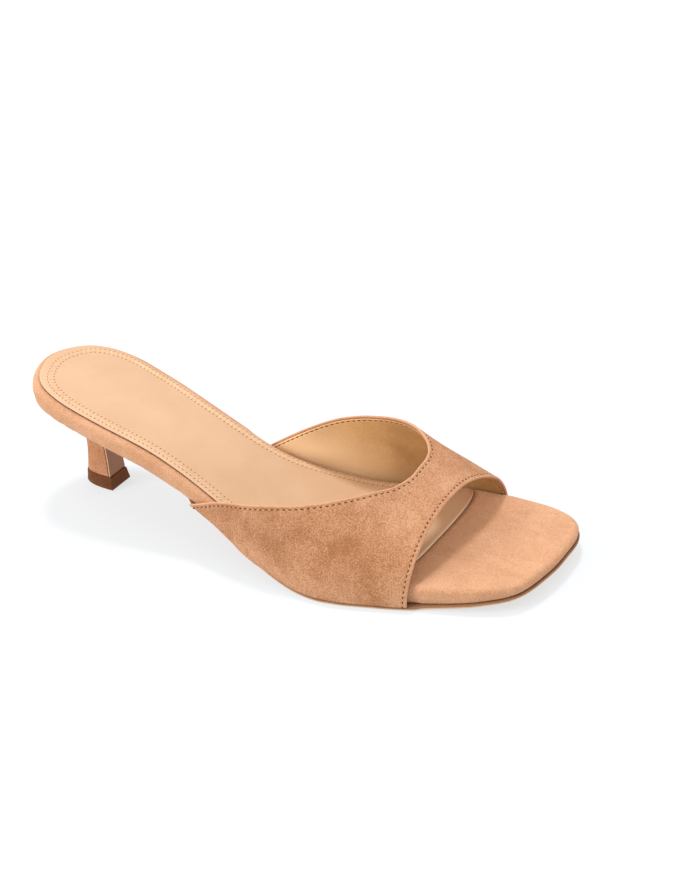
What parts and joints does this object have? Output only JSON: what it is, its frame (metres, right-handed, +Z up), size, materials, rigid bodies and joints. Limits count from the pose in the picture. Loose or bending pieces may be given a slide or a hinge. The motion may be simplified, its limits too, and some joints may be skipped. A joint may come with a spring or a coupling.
{
  "type": "heeled mule",
  "caption": "Open-toe suede heeled mule for the right foot: one wide vamp band on a padded footbed, square toe, flared kitten heel.",
  "frame": {"origin": "middle of the bounding box, on the floor that the heel tip and the forefoot stand on", "axes": "+X from the heel to the toe, +Y to the medial side (the left of this right shoe), +Z up"},
  "size_m": [0.2404, 0.0924, 0.0589],
  "materials": {
    "upper_suede": "matte suede with a short mottled nap",
    "footbed_suede": "matte suede wrapped over the padded footbed",
    "sock_leather": "smooth leather with a low sheen",
    "lining_leather": "smooth tan lining leather with fine grain",
    "outsole_edge": "smooth painted edge, low sheen",
    "heel_cover": "smooth satin",
    "heel_tip_rubber": "satin brown rubber"
  },
  "bodies": {
    "root": {"outsole": "outsole_edge", "footbed": "footbed_suede", "sock": "sock_leather", "upper": "upper_suede", "heel": "upper_suede", "heel_breast_cover": "heel_cover", "heel_tip": "heel_tip_rubber"}
  },
  "joints": []
}
